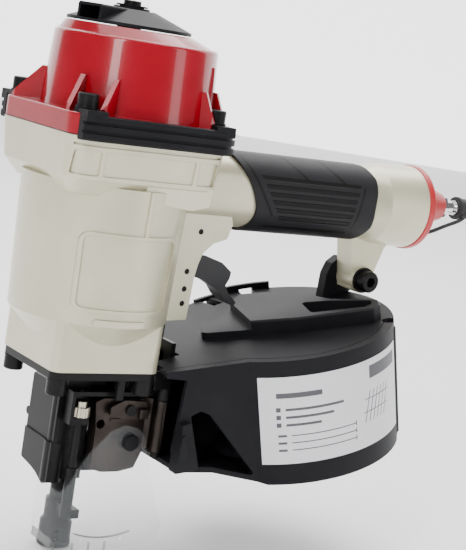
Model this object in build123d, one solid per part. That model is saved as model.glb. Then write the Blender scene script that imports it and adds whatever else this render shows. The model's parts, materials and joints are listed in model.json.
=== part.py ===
from build123d import *
import os
from math import atan2, cos, degrees, pi, radians, sin, sqrt, tan

os.makedirs("parts", exist_ok=True)

# Pneumatic coil nailer.  Millimetres, +Z up along the driver axis.
# Origin: centre of the nose tip's working face.  +X points back along the handle to the air
# inlet, -Y is the side on which the magazine cover opens.

# ---------------------------------------------------------------- driving dimensions
# housing
BASE_Z = 99.0              # lower face of the housing, on the nose flange
CROWN_Z = 215.0            # upper face of the housing, under the cap gasket
HEAD_HALF = 43.2           # half width of the square head
HEAD_CORNER = 11.0
HEAD_BAND = 20.0           # height of the square head's straight band
HEAD_DRAFT = 1.8           # the band narrows by this much on each side towards its foot
HEAD_CHAMFER = 5.5
BARREL_TOP_Z = 192.0
BARREL_TOP_R = 42.4
BARREL_LOW_Z = 124.0
BARREL_LOW_R = 40.4
BARREL_SKIRT = 11.0        # height of the cone that runs the barrel into the square base
BASE_HALF = 30.1
BASE_CORNER = 5.0
BASE_FLOOR = 4.0
CHAMBER_R = 34.0
RIDGE = 1.0                # height of the cast ridges and panel borders
RIDGE_WIDTH = 1.8
# handle
HANDLE_Z = 192.3
HANDLE_WIDTH = 35.0
HANDLE_HEIGHT = 38.5
HANDLE_BORE_R = 13.0
GRIP_END_X = 159.0
GRIP_WALL = 1.6
INLET_X = 194.0            # face that the end cap seats on
INLET_R = 23.4
# trigger ears
EAR_HALF = 15.0            # outer face of the ears, from the mid plane
EAR_SLOT = 6.6             # half width of the slot between the ears
PIVOT_X = 46.2
PIVOT_Z = 149.7
PIN_R = 1.5
# cap
CAP_FLANGE = 10.0
CAP_DOME_X = 5.5           # the dome stands a little behind the driver axis
CAP_DOME_LOW_R = 43.6
CAP_DOME_TOP_R = 40.8
CAP_RIM_Z = 262.5
CAP_ROOF_Z = 267.0
CAP_ROOF_R = 31.5
CAP_WALL = 3.6
SCREW_PITCH = 35.5         # cap screws stand at this X and Y from the axis
GASKET = 0.5
# cylinder and piston
SLEEVE_BORE_R = 24.0
SLEEVE_WALL = 3.0
SLEEVE_TOP_Z = 236.0
STROKE = 92.0
PISTON_H = 12.0
BLADE_R = 2.6
BUMPER_H = 20.0
HEAD_VALVE_R = 31.6
# deflector
DEFLECTOR_R = 31.0
DEFLECTOR_TOP_Z = 277.2
DEFLECTOR_HUB_R = 9.0
MOUTH_REACH = 30.0
MOUTH_WIDTH = 15.5
MOUTH_TURN = 200.0         # heading of the exhaust mouth about +Z
# nose
FLANGE_H = 4.0
NOSE_SCREW_PITCH = 24.5
GUIDE_BORE_R = 3.2
GUIDE_TUBE_R = 5.4
GUIDE_TUBE_Z = 9.0
TIP_R = 8.4
TIP_H = 12.5
TIP_WALL = 1.5
ADJUST_X = -4.0
ADJUST_Y = -15.6
DOOR_Y = -14.0             # inner face of the door plate
DOOR_T = 3.0
DOOR_HINGE_X = 39.0
DOOR_HINGE_Y = -22.4
NAIL_SLOT = 2.5            # half width of the nail channel
# magazine
DRUM_R = 63.0
DRUM_X = 111.8
DRUM_Y = -10.3
DRUM_Z = 124.2
DRUM_H = 67.6
DRUM_TILT = 15.0
DRUM_WALL = 2.6
LIP = 5.0                  # width of the cover's top and bottom lips
NECK_A = -86.0             # front end of the neck, along the drum's own axis
PLATFORM_R = 52.0
# air inlet
PLUG_Z = 194.3
# clearances
FIT = 0.05                 # radial play of pins and shafts in their holes
GAP = 0.4                  # gap between parts that pass each other


# ---------------------------------------------------------------- helpers
def block(x0, x1, y0, y1, z0, z1):
    return Pos((x0 + x1) / 2, (y0 + y1) / 2, (z0 + z1) / 2) * Box(x1 - x0, y1 - y0, z1 - z0)


def rod(r, z0, z1, x=0.0, y=0.0):
    return Pos(x, y, (z0 + z1) / 2) * Cylinder(r, z1 - z0)


def tube(r_out, r_in, z0, z1, x=0.0, y=0.0):
    return rod(r_out, z0, z1, x, y) - rod(r_in, z0 - 1, z1 + 1, x, y)


def rod_x(r, x0, x1, y, z):
    return Pos((x0 + x1) / 2, y, z) * Rot(0, 90, 0) * Cylinder(r, x1 - x0)


def rod_y(r, y0, y1, x, z):
    return Pos(x, (y0 + y1) / 2, z) * Rot(90, 0, 0) * Cylinder(r, y1 - y0)


def cone(r0, r1, z0, z1, x=0.0, y=0.0):
    return Pos(x, y, (z0 + z1) / 2) * Cone(r0, r1, z1 - z0)


def side_plate(points, y0, y1, radius=0.0):
    """Plate with its outline in X and Z, from y0 to y1."""
    face = Plane.XZ * make_face(Polyline(*points, close=True))
    if radius:
        face = fillet(face.vertices(), radius)
    solid = extrude(face, amount=y1 - y0, dir=(0, 1, 0))
    return Pos(0, y0, 0) * solid


def flat_plate(points, z0, z1, radius=0.0):
    """Plate with its outline in X and Y, from z0 to z1."""
    face = make_face(Polyline(*points, close=True))
    if radius:
        face = fillet(face.vertices(), radius)
    return Pos(0, 0, z0) * extrude(face, amount=z1 - z0, dir=(0, 0, 1))


def square_prism(half, corner, z0, z1):
    face = RectangleRounded(2 * half, 2 * half, corner)
    return Pos(0, 0, z0) * extrude(face, amount=z1 - z0)


def corners(pitch):
    return [(sx * pitch, sy * pitch) for sx in (-1, 1) for sy in (-1, 1)]


def as_one(solids):
    return Compound(children=list(solids))


def save(name, shape):
    export_step(shape, "parts/" + name + ".step")


# ---------------------------------------------------------------- housing
def barrel(grow=0.0):
    return cone(BARREL_LOW_R + grow, BARREL_TOP_R + grow, BARREL_LOW_Z, BARREL_TOP_Z)


def frame_xz(x0, x1, z0, z1, corner, lean=0.0):
    """Raised border drawn in X and Z and carried through in Y; lean moves its top back."""
    outer = [(x0, z0), (x1, z0), (x1 + lean, z1), (x0 - lean, z1)]
    w = RIDGE_WIDTH
    inner = [(x0 + w, z0 + w), (x1 - w, z0 + w), (x1 + lean - w, z1 - w), (x0 - lean + w, z1 - w)]
    reach = HEAD_HALF + 10
    return side_plate(outer, -reach, reach, corner) - side_plate(inner, -reach - 1, reach + 1, corner - w)


PANEL_X = (-27.2, 24.0)
PANEL_Z = (BARREL_LOW_Z + 7, BARREL_LOW_Z + 46)
DIVIDER_X = 2.0
BAR_X = (-17.0, 11.0)
BAR_H = 3.4


def panel_relief():
    """Cast borders on both flanks of the barrel."""
    reach = HEAD_HALF + 10
    panel = frame_xz(PANEL_X[0], PANEL_X[1], PANEL_Z[0], PANEL_Z[1], 5.0, 0.8)
    divider = block(DIVIDER_X, DIVIDER_X + RIDGE_WIDTH, -reach, reach, PANEL_Z[1] - 1, BARREL_TOP_Z)
    bar = block(BAR_X[0], BAR_X[1], -reach, reach, BARREL_LOW_Z + 0.3, BARREL_LOW_Z + 0.3 + BAR_H)
    bar = fillet(bar.edges().filter_by(Axis.Y), BAR_H / 2 - 0.1)
    relief = (panel + divider + bar) & barrel(RIDGE)
    return relief - block(-60, 60, -BARREL_LOW_R / 2, BARREL_LOW_R / 2, BASE_Z, CROWN_Z)


def head_square(half, z):
    return Pos(0, 0, z) * RectangleRounded(2 * half, 2 * half, HEAD_CORNER - 1)


def head_band(inset=0.0):
    """The drafted straight band of the square head."""
    low = head_square(HEAD_HALF - HEAD_DRAFT - inset, CROWN_Z - HEAD_BAND)
    return loft([low, head_square(HEAD_HALF - inset, CROWN_Z)], ruled=True)


def head_block():
    band_z = CROWN_Z - HEAD_BAND
    half = HEAD_HALF - HEAD_DRAFT
    chamfered = loft([head_square(half - HEAD_CHAMFER, band_z - HEAD_CHAMFER - 2), head_square(half, band_z)],
                     ruled=True)
    rear = side_plate([(0, band_z + 1), (HEAD_HALF - 5.5, band_z + 1), (HEAD_HALF - 6.5, band_z - 8),
                       (HEAD_HALF - 16, band_z - 10.5), (0, band_z - 8)], 0.6 - half, half - 0.6)
    return head_band() + chamfered + rear


BAND_PANELS = ((-40.5, -27.6), (-25.4, 24.4), (26.6, 37.5))


def band_pockets():
    """Three shallow panels on each flank of the head, and the groove above them."""
    band_z = CROWN_Z - HEAD_BAND
    reach = HEAD_HALF + 4
    windows = []
    for x0, x1 in BAND_PANELS:
        window = block(x0, x1, -reach, reach, band_z + 2.0, CROWN_Z - 6.5)
        windows.append(fillet(window.edges().filter_by(Axis.Y), 1.0))
    windows.append(block(-HEAD_HALF + 2, HEAD_HALF - 5, -reach, reach, CROWN_Z - 4.2, CROWN_Z - 3.2))
    keep = head_band(0.8)
    return [window - keep for window in windows]


def handle_core(grow=0.0):
    """Handle section, carried from the barrel to the inlet."""
    width = HANDLE_WIDTH + 2 * grow
    height = HANDLE_HEIGHT + 2 * grow
    section = RectangleRounded(width, height, width / 2 - 2.5)
    start = 20.0
    face = Plane(origin=(start, 0, HANDLE_Z), x_dir=(0, 1, 0), z_dir=(1, 0, 0)) * section
    return extrude(face, amount=GRIP_END_X - start, dir=(1, 0, 0))


def inlet_barrel():
    width = HANDLE_WIDTH
    neck = Plane(origin=(GRIP_END_X - 2, 0, HANDLE_Z), x_dir=(0, 1, 0), z_dir=(1, 0, 0)) \
        * RectangleRounded(width, HANDLE_HEIGHT, width / 2 - 2.5)
    mouth_r = INLET_R - 1.0
    mouth = Plane(origin=(GRIP_END_X + 9, 0, HANDLE_Z), x_dir=(0, 1, 0), z_dir=(1, 0, 0)) * Circle(mouth_r)
    flare = loft([neck, mouth])
    length = INLET_X - GRIP_END_X - 9
    barrel_end = Pos(GRIP_END_X + 9 + length / 2, 0, HANDLE_Z) * Rot(0, 90, 0) * Cone(mouth_r, INLET_R, length)
    return flare + barrel_end


LEG_HALF = 6.5
LEG_BOLT_X = 167.5
LEG_BOLT_Z = 149.6
LEG_BOLT_R = 4.0
LEG_BOSS_R = 7.6
LEG_BOSS_H = 1.6


def leg():
    plate = side_plate([(154, 180), (161.5, LEG_BOLT_Z - 6), (LEG_BOLT_X + 2, LEG_BOLT_Z - 7.4),
                        (LEG_BOLT_X + 7.4, LEG_BOLT_Z + 2), (180, 168), (188, 180)], -LEG_HALF, LEG_HALF)
    boss = rod_y(LEG_BOSS_R, -LEG_HALF - LEG_BOSS_H, LEG_HALF, LEG_BOLT_X, LEG_BOLT_Z)
    return plate + boss


def trigger_web():
    """Two ears behind the barrel, with a slot between them for the trigger."""
    outline = [(22, 186), (66, 186), (69.8, 176), (67.6, 168), (59.5, 165), (54, 159.5), (52.2, 153.5),
               (51, 146), (50.2, 124.2), (32, 123)]
    return side_plate(outline, -EAR_HALF, EAR_HALF, 1.2)


VALVE_X = 58.0
VALVE_R = 6.6
VALVE_LOW_Z = 167.0
VALVE_H = 17.0
EAR_PINS = ((51.0, 170.8), (PIVOT_X, PIVOT_Z), (46.2, 140.5), (46.2, 132.8))


def main_body():
    base = square_prism(BASE_HALF, BASE_CORNER, BASE_Z, BARREL_LOW_Z + 1)
    skirt = cone(BASE_HALF, BARREL_LOW_R, BARREL_LOW_Z - BARREL_SKIRT, BARREL_LOW_Z)
    solid = base + skirt + barrel() + panel_relief() + head_block()
    solid += handle_core() + inlet_barrel() + leg() + trigger_web()
    for pocket in band_pockets():
        solid -= pocket
    # air chamber round the cylinder sleeve, and the passage through the handle
    sleeve_r = SLEEVE_BORE_R + SLEEVE_WALL
    solid -= rod(sleeve_r, BASE_Z + BASE_FLOOR, CROWN_Z)
    solid -= rod(CHAMBER_R, BARREL_LOW_Z - 4, CROWN_Z + 1)
    solid -= rod(BLADE_R + 3, BASE_Z - 1, BASE_Z + BASE_FLOOR + 1)
    solid -= rod_x(HANDLE_BORE_R, 20, INLET_X + 1, 0, HANDLE_Z)
    solid -= rod_x(INLET_R - 5, INLET_X - 14, INLET_X + 1, 0, HANDLE_Z)
    # trigger slot, valve bore and the pin holes of the ears
    solid -= side_plate([(41.5, 118), (41.5, 157), (50, VALVE_LOW_Z), (90, VALVE_LOW_Z), (90, 118)],
                        -EAR_SLOT, EAR_SLOT)
    solid -= rod(VALVE_R, VALVE_LOW_Z - 1, HANDLE_Z, VALVE_X)
    for x, z in EAR_PINS:
        solid -= rod_y(PIN_R, -EAR_HALF - 1, EAR_HALF + 1, x, z)
    solid -= rod_y(LEG_BOLT_R, -LEG_HALF - 4, LEG_HALF + 2, LEG_BOLT_X, LEG_BOLT_Z)
    for x, y in corners(SCREW_PITCH):
        solid -= rod(3.0, CROWN_Z - 17, CROWN_Z + 1, x, y)
    for x, y in corners(NOSE_SCREW_PITCH):
        solid -= rod(3.0, BASE_Z - 1, BASE_Z + 10, x, y)
    return solid


# ---------------------------------------------------------------- cap
FIN_H = 17.0
GUARD_H = 12.0
GUARD_T = 4.2
TAB_H = 2.0
TAB_HALF = 5.4
TAB_REACH = 14.0
WASHER_H = 1.0


def cap_fins():
    """A pair of gussets beside each cap screw, running up the dome."""
    fins = []
    foot_z = CROWN_Z + GASKET + CAP_FLANGE
    for x, y in corners(SCREW_PITCH):
        heading = degrees(atan2(y, x - CAP_DOME_X))
        reach = sqrt((x - CAP_DOME_X) ** 2 + y ** 2)
        inner = CAP_DOME_TOP_R - 2
        profile = [(inner, foot_z - 1), (reach + 3, foot_z - 1), (reach + 3, foot_z + 1.5),
                   (CAP_DOME_LOW_R - 0.6, foot_z + FIN_H), (inner, foot_z + FIN_H)]
        for side in (-1, 1):
            fin = side_plate(profile, side * 8.6 - 1.2, side * 8.6 + 1.2)
            fins.append(Pos(CAP_DOME_X, 0, 0) * Rot(0, 0, heading) * fin)
    return fins


def cylinder_cap():
    flange_z = CROWN_Z + GASKET
    flange = square_prism(HEAD_HALF, HEAD_CORNER, flange_z, flange_z + CAP_FLANGE)
    flange = fillet(flange.edges().group_by(Axis.Z)[-1], 1.0)
    height = CAP_RIM_Z - flange_z
    dome = Pos(CAP_DOME_X, 0, flange_z + height / 2) * Cone(CAP_DOME_LOW_R, CAP_DOME_TOP_R, height)
    dome = fillet(dome.edges().group_by(Axis.Z)[-1], 2.0)
    roof = loft([Pos(CAP_DOME_X, 0, CAP_RIM_Z - 0.6) * Circle(CAP_DOME_TOP_R - 1.4),
                 Pos(0, 0, CAP_ROOF_Z) * Circle(CAP_ROOF_R)])
    solid = flange + dome + roof
    limit = square_prism(HEAD_HALF - 0.5, HEAD_CORNER, flange_z, CAP_RIM_Z)
    for fin in cap_fins():
        solid += fin & limit
    for x, y in corners(SCREW_PITCH):
        solid -= rod(6.4, flange_z + CAP_FLANGE, CAP_RIM_Z - 8, x, y)
    # bore for the head valve, exhaust passage and the deflector bolt's thread
    bore_r = HEAD_VALVE_R + FIT
    bore_top = CAP_ROOF_Z - CAP_WALL - 3
    solid -= rod(CHAMBER_R, flange_z - 1, flange_z + 8)
    solid -= rod(bore_r, flange_z - 1, bore_top)
    solid -= rod(2.5, bore_top - 1, CAP_ROOF_Z + 1)
    for turn in range(6):
        solid -= Rot(0, 0, 60 * turn + 30) * rod(3.2, bore_top - 1, CAP_ROOF_Z + 1, 12)
    for x, y in corners(SCREW_PITCH):
        solid -= rod(3.3, flange_z - 1, CAP_RIM_Z, x, y)
        side = y / abs(y)
        tab = Rectangle(2 * TAB_HALF + 1.0, TAB_REACH)
        solid -= Pos(x, y + side * TAB_REACH / 2, flange_z + CAP_FLANGE) * extrude(tab, amount=TAB_H + 0.5)
    return solid


def cap_gasket():
    ring = square_prism(HEAD_HALF - 0.5, HEAD_CORNER, CROWN_Z, CROWN_Z + GASKET)
    ring -= rod(CHAMBER_R, CROWN_Z - 1, CROWN_Z + 1)
    for x, y in corners(SCREW_PITCH):
        ring -= rod(3.3, CROWN_Z - 1, CROWN_Z + 2, x, y)
    return ring




def side_guard(side):
    """Ribbed bumper along one flank, wrapped round the rear corner and held by two cap screws."""
    inner = HEAD_HALF + 0.5
    outer = inner + GUARD_T
    low = CROWN_Z - 1.5
    top = low + GUARD_H
    ring = square_prism(outer, HEAD_CORNER + GUARD_T, low, top)
    ring = fillet(ring.edges().group_by(Axis.Z)[-1] + ring.edges().group_by(Axis.Z)[0], 1.2)
    for z in (low + 3.4, low + 7.6):
        rib_gap = square_prism(outer + 1, HEAD_CORNER + GUARD_T, z, z + 1.6)
        rib_gap -= square_prism(outer - 1.2, HEAD_CORNER + GUARD_T - 1.2, z - 1, z + 3)
        ring -= rib_gap
    ring -= square_prism(inner, HEAD_CORNER - 0.6, low - 1, top + 1)
    keep_near = block(-SCREW_PITCH - 5.5, outer + 1, -outer - 1, -HEAD_HALF + HEAD_CORNER + 1.5, low - 1, top + 1)
    strip = ring & keep_near
    tab_z = CROWN_Z + GASKET + CAP_FLANGE
    for x in (-SCREW_PITCH, SCREW_PITCH):
        tab = rod(5.8, tab_z, tab_z + TAB_H, x, -SCREW_PITCH)
        tab += block(x - TAB_HALF, x + TAB_HALF, -outer + 1.5, -SCREW_PITCH, tab_z, tab_z + TAB_H)
        strip += block(x - TAB_HALF, x + TAB_HALF, -outer + 0.6, -inner, top - 3, tab_z + TAB_H)
        strip += tab
        strip -= rod(3.3, low, tab_z + 10, x, -SCREW_PITCH)
    if side > 0:
        strip = mirror(strip, about=Plane.XZ)
    return strip


def socket_screw(head_r, head_h, shank_r, shank_len):
    """Socket head cap screw, head up, bearing face at z = 0."""
    head = rod(head_r, 0, head_h)
    head = chamfer(head.edges().group_by(Axis.Z)[-1], head_r * 0.1)
    socket = Pos(0, 0, head_h) * extrude(RegularPolygon(head_r * 0.52, 6), amount=-head_h * 0.55)
    return (head - socket) + rod(shank_r, -shank_len, 0)


def cap_screws():
    """Four socket head screws with their washers."""
    low = CROWN_Z + GASKET + CAP_FLANGE + TAB_H
    screw = socket_screw(5.0, 6.2, 3.0, 28) + rod(5.6, -WASHER_H, 0)
    return as_one([Pos(x, y, low + WASHER_H) * screw for x, y in corners(SCREW_PITCH)])


# ---------------------------------------------------------------- exhaust deflector
DEFLECTOR_PLAY = 0.4
BUSH_R = 6.0


def exhaust_deflector():
    """Cone shaped cover with one square mouth, turned by hand to aim the exhaust."""
    low = CAP_ROOF_Z + DEFLECTOR_PLAY
    rim_h = 1.6
    shell = rod(DEFLECTOR_R, low, low + rim_h)
    shell += cone(DEFLECTOR_R, DEFLECTOR_HUB_R + 3, low + rim_h, DEFLECTOR_TOP_Z - 1.0)
    shell += rod(DEFLECTOR_HUB_R + 3, DEFLECTOR_TOP_Z - 2, DEFLECTOR_TOP_Z - 1.0)
    shell += rod(DEFLECTOR_HUB_R, DEFLECTOR_TOP_Z - 2, DEFLECTOR_TOP_Z)
    duct = block(0, MOUTH_REACH, -MOUTH_WIDTH / 2, MOUTH_WIDTH / 2, low, DEFLECTOR_TOP_Z - 1.0)
    duct = fillet(duct.edges().filter_by(Axis.X), 1.4)
    shell += duct
    hollow = rod(DEFLECTOR_R - 5, low - 1, low + 1.0)
    hollow += cone(DEFLECTOR_R - 5, DEFLECTOR_HUB_R + 4, low + 0.9, DEFLECTOR_TOP_Z - 3.0)
    hollow += block(0, MOUTH_REACH + 1, 1.5 - MOUTH_WIDTH / 2, MOUTH_WIDTH / 2 - 1.5, low + 1.4,
                    DEFLECTOR_TOP_Z - 2.4)
    hollow -= rod(DEFLECTOR_HUB_R, low - 1, DEFLECTOR_TOP_Z)
    shell -= hollow
    shell -= rod(BUSH_R + FIT, low - 2, DEFLECTOR_TOP_Z + 1)
    return Rot(0, 0, MOUTH_TURN) * shell


def deflector_bush():
    """Shouldered bush that the deflector turns on."""
    low = CAP_ROOF_Z
    bush = rod(BUSH_R, low, DEFLECTOR_TOP_Z + 0.3) - rod(2.6, low - 1, DEFLECTOR_TOP_Z + 2)
    collar = tube(BUSH_R + 1.8, 2.6, DEFLECTOR_TOP_Z + 0.3, DEFLECTOR_TOP_Z + 1.1)
    return bush + collar


def deflector_bolt():
    return Pos(0, 0, DEFLECTOR_TOP_Z + 1.1) * socket_screw(4.4, 2.2, 2.5, 16)


# ---------------------------------------------------------------- cylinder, piston and head valve
SLEEVE_LOW_Z = BASE_Z + BASE_FLOOR
BUMPER_TOP_Z = SLEEVE_LOW_Z + BUMPER_H
PISTON_LOW_Z = BUMPER_TOP_Z + STROKE + GAP
BLADE_TIP_REST = 94.5


def cylinder_sleeve():
    r = SLEEVE_BORE_R + SLEEVE_WALL
    sleeve = tube(r, SLEEVE_BORE_R, SLEEVE_LOW_Z, SLEEVE_TOP_Z)
    for turn in range(12):
        sleeve -= Rot(0, 0, 30 * turn) * rod_x(1.6, r - 5, r + 1, 0, BUMPER_TOP_Z + 8)
    return sleeve


def sleeve_collar():
    """Ring that parts the return chamber from the air around the sleeve."""
    r = SLEEVE_BORE_R + SLEEVE_WALL
    z = BARREL_LOW_Z + 30
    return tube(CHAMBER_R, r, z, z + 8)


def piston_bumper():
    r = SLEEVE_BORE_R
    bumper = tube(r, BLADE_R + 1.2, SLEEVE_LOW_Z, BUMPER_TOP_Z)
    return bumper - (tube(r + 1, r - 3, SLEEVE_LOW_Z + 6, SLEEVE_LOW_Z + 14))


def drive_piston():
    r = SLEEVE_BORE_R - FIT
    piston = rod(r, PISTON_LOW_Z, PISTON_LOW_Z + PISTON_H)
    piston -= tube(r + 1, r - 2.4, PISTON_LOW_Z + 4.5, PISTON_LOW_Z + 7.5)
    piston -= rod(r - 6, PISTON_LOW_Z + 6, PISTON_LOW_Z + PISTON_H + 1)
    piston += rod(6, PISTON_LOW_Z, PISTON_LOW_Z + PISTON_H)
    return piston - rod(BLADE_R, PISTON_LOW_Z - 1, PISTON_LOW_Z + PISTON_H + 1)


def piston_ring():
    r = SLEEVE_BORE_R - FIT
    return tube(r, r - 2.4, PISTON_LOW_Z + 4.5, PISTON_LOW_Z + 7.5)


def driver_blade():
    return rod(BLADE_R, BLADE_TIP_REST, PISTON_LOW_Z + PISTON_H)


VALVE_SEAT_Z = SLEEVE_TOP_Z + GAP
HEAD_VALVE_H = 12.0


def head_valve():
    low = VALVE_SEAT_Z
    valve = rod(HEAD_VALVE_R, low, low + HEAD_VALVE_H)
    valve -= tube(HEAD_VALVE_R + 1, HEAD_VALVE_R - 2.2, low + 4, low + 7)
    valve -= tube(22, 12, low + 3, low + HEAD_VALVE_H + 1)
    valve -= rod(8, low - 1, low + HEAD_VALVE_H + 1)
    return valve


def head_valve_ring():
    low = VALVE_SEAT_Z + 4
    return tube(HEAD_VALVE_R, HEAD_VALVE_R - 2.2, low, low + 3)


def coil_spring(radius, wire, z0, z1, turns, x=0.0, y=0.0):
    """Compression spring standing on z0, its wire wholly between z0 and z1."""
    pitch = (z1 - z0 - 2 * wire) / turns
    path = Helix(pitch, pitch * turns, radius)
    section = Plane(origin=path @ 0, z_dir=path % 0) * Circle(wire)
    return Pos(x, y, z0 + wire) * sweep(section, path=path, is_frenet=True)


def head_valve_spring():
    bore_top = CAP_ROOF_Z - CAP_WALL - 3
    return coil_spring(17.0, 1.2, VALVE_SEAT_Z + 3.1, bore_top - 0.1, 4)


# ---------------------------------------------------------------- handle end
def grip_sleeve():
    """Rubber sleeve pulled over the handle, with slanted, rounded ends."""
    solid = handle_core(GRIP_WALL) - handle_core(0.0) - inlet_barrel() - leg()
    top = HANDLE_Z + HANDLE_HEIGHT
    low = HANDLE_Z - HANDLE_HEIGHT
    front = Spline((62, top), (70, 206), (78.5, 192), (80.8, 183), (76, 166), (74, low))
    rear = Spline((146, low), (154, 171), (161.5, 188), (162, 199), (154, 215), (146, top))
    outline = [front, Line((74, low), (146, low)), rear, Line((146, top), (62, top))]
    side = Plane.XZ * make_face(outline)
    window = Pos(0, -HANDLE_WIDTH, 0) * extrude(side, amount=2 * HANDLE_WIDTH, dir=(0, 1, 0))
    return solid & window


END_RING = 4.5
END_CONE = 21.0
END_TIP_R = 7.0


def end_cap():
    """Red cap that closes the handle and carries the air plug."""
    z = HANDLE_Z
    ring = Pos(INLET_X + END_RING / 2, 0, z) * Rot(0, 90, 0) * Cylinder(INLET_R + 0.6, END_RING)
    ring = fillet(ring.edges().filter_by(GeomType.CIRCLE), 1.0)
    face = Pos(INLET_X + END_RING + 4, 0, z) * Rot(0, 90, 0) * Cone(INLET_R - 1.4, INLET_R - 9, 8)
    neck_r = END_TIP_R + 1
    neck_x = INLET_X + END_RING + 8
    neck_length = END_CONE - 8
    neck = Pos(neck_x + neck_length / 2, 0, PLUG_Z) * Rot(0, 90, 0) * Cone(neck_r + 4, neck_r, neck_length)
    spigot = rod_x(INLET_R - 5 - FIT, INLET_X - 10, INLET_X + 0.1, 0, z)
    solid = ring + face + neck + spigot
    solid -= rod_x(INLET_R - 8, INLET_X - 11, INLET_X + 2, 0, z)
    solid -= rod_x(5.0, INLET_X, INLET_X + 60, 0, PLUG_Z)
    return solid - seal_ring() - cap_tether()


def seal_ring():
    return Pos(INLET_X - 6, 0, HANDLE_Z) * Rot(0, 90, 0) * Torus(INLET_R - 6.1, 1.0)


TETHER_Y = 6.0
PLUG_START_X = INLET_X + 4.0
PLUG_FACE_X = INLET_X + END_RING + END_CONE
PLUG_HEX_H = 4.0
PLUG_REACH = 14.0
PLUG_R = 4.3


def end_cap_seal():
    return seal_ring()


def air_filter():
    """Disc of fine mesh held in the mouth of the handle."""
    x = INLET_X - 13.8
    disc = rod_x(INLET_R - 5 - FIT, x, x + 1.2, 0, HANDLE_Z)
    for ring in range(1, 5):
        for turn in range(6 * ring):
            angle = 2 * pi * turn / (6 * ring)
            reach = ring * 3.6
            disc -= rod_x(1.3, x - 1, x + 3, reach * cos(angle), HANDLE_Z + reach * sin(angle))
    return disc


def air_plug():
    """Male quick coupling plug with its hexagon seated on the end cap."""
    body = rod_x(5.0, PLUG_START_X, PLUG_FACE_X, 0, PLUG_Z)
    hexagon = Plane(origin=(PLUG_FACE_X, 0, PLUG_Z), x_dir=(0, 1, 0), z_dir=(1, 0, 0)) * RegularPolygon(6.6, 6)
    body += extrude(hexagon, amount=PLUG_HEX_H)
    start = PLUG_FACE_X + PLUG_HEX_H
    body += rod_x(PLUG_R, start, start + PLUG_REACH, 0, PLUG_Z)
    groove = rod_x(PLUG_R + 1, start + 5.0, start + 8.0, 0, PLUG_Z) - rod_x(PLUG_R - 1.3, start + 4, start + 9, 0, PLUG_Z)
    body -= groove
    body -= rod_x(2.4, PLUG_START_X - 1, start + PLUG_REACH + 1, 0, PLUG_Z)
    return body


DUST_WALL = 1.5
DUST_LAP = 4.0


def dust_cap():
    """Rubber cap pushed over the end of the plug."""
    start = PLUG_FACE_X + PLUG_HEX_H + PLUG_REACH - DUST_LAP
    outer = PLUG_R + FIT + DUST_WALL
    cap = rod_x(outer, start, start + DUST_LAP + 7, 0, PLUG_Z)
    cap = fillet(cap.edges().group_by(Axis.X)[-1], 1.8)
    bead = rod_x(outer + 0.8, start, start + 2.0, 0, PLUG_Z)
    cap += bead
    cap += rod_x(1.4, start + 1.0, start + 5, -outer + 0.4, PLUG_Z - 3.6)
    return cap - rod_x(PLUG_R + FIT, start - 1, start + DUST_LAP + 0.3, 0, PLUG_Z)


def cap_tether():
    """Moulded strap from the end cap to the dust cap."""
    start_x = INLET_X + END_RING + 2
    low = PLUG_Z - 15
    points = [(start_x, low), (start_x + 7, low + 0.3), (start_x + 16, low + 4.5),
              (PLUG_FACE_X + 6, low + 8.6), (PLUG_FACE_X + 12, low + 9.6)]
    under = [(x + 0.6, z - 2.2) for x, z in reversed(points)]
    return side_plate(points + under, -TETHER_Y - 1.4, -TETHER_Y + 1.4, 0.3)


# ---------------------------------------------------------------- trigger group
TRIGGER_HALF = EAR_SLOT - 0.5


def trigger():
    """Channel shaped trigger with a hooked tail, hung on a pin between the ears."""
    outline = [(PIVOT_X - 4, PIVOT_Z + 2), (PIVOT_X - 1, PIVOT_Z + 5), (PIVOT_X + 8, PIVOT_Z + 7.6),
               (62, PIVOT_Z + 7.4), (73, PIVOT_Z + 4.2), (79.6, PIVOT_Z - 0.6), (79.2, PIVOT_Z - 4),
               (77.2, PIVOT_Z - 8), (79.6, PIVOT_Z - 11.6), (85.6, PIVOT_Z - 17), (84.2, PIVOT_Z - 19),
               (76.6, PIVOT_Z - 14.6), (72.6, PIVOT_Z - 9.8), (68, PIVOT_Z - 7.4), (58, PIVOT_Z - 4.4),
               (PIVOT_X + 4, PIVOT_Z - 4), (PIVOT_X - 2, PIVOT_Z - 4)]
    solid = side_plate(outline, -TRIGGER_HALF, TRIGGER_HALF, 0.5)
    hollow = side_plate([(PIVOT_X - 8, PIVOT_Z + 12), (PIVOT_X - 8, PIVOT_Z - 1), (PIVOT_X + 8, PIVOT_Z - 2),
                         (VALVE_X - 5, PIVOT_Z + 3.0), (VALVE_X + 6, PIVOT_Z + 3.0), (VALVE_X + 6, PIVOT_Z + 12)],
                        1.6 - TRIGGER_HALF, TRIGGER_HALF - 1.6)
    solid -= hollow
    return solid - rod_y(PIN_R + FIT, -20, 20, PIVOT_X, PIVOT_Z)


def ear_pins():
    """Four cross pins pressed into the ears: valve pin, trigger pivot and two guide pins."""
    return as_one([rod_y(PIN_R, -EAR_HALF + 0.4, EAR_HALF - 0.4, x, z) for x, z in EAR_PINS])


def trigger_valve():
    """Cartridge valve pressed into its bore above the trigger."""
    top = VALVE_LOW_Z + VALVE_H
    body = rod(VALVE_R, VALVE_LOW_Z, top, VALVE_X)
    body -= tube(VALVE_R + 1, VALVE_R - 1.2, VALVE_LOW_Z + 8, VALVE_LOW_Z + 10.5, VALVE_X)
    body -= rod(4.0, VALVE_LOW_Z + 4, top + 1, VALVE_X)
    body -= rod(1.8, VALVE_LOW_Z - 1, top + 1, VALVE_X)
    pin_x, pin_z = EAR_PINS[0]
    return body - rod_y(PIN_R, -20, 20, pin_x, pin_z)


def trigger_valve_ring():
    low = VALVE_LOW_Z + 8
    return tube(VALVE_R, VALVE_R - 1.2, low, low + 2.5, VALVE_X)


STEM_LOW_Z = PIVOT_Z + 3.0 + 0.3


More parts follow.
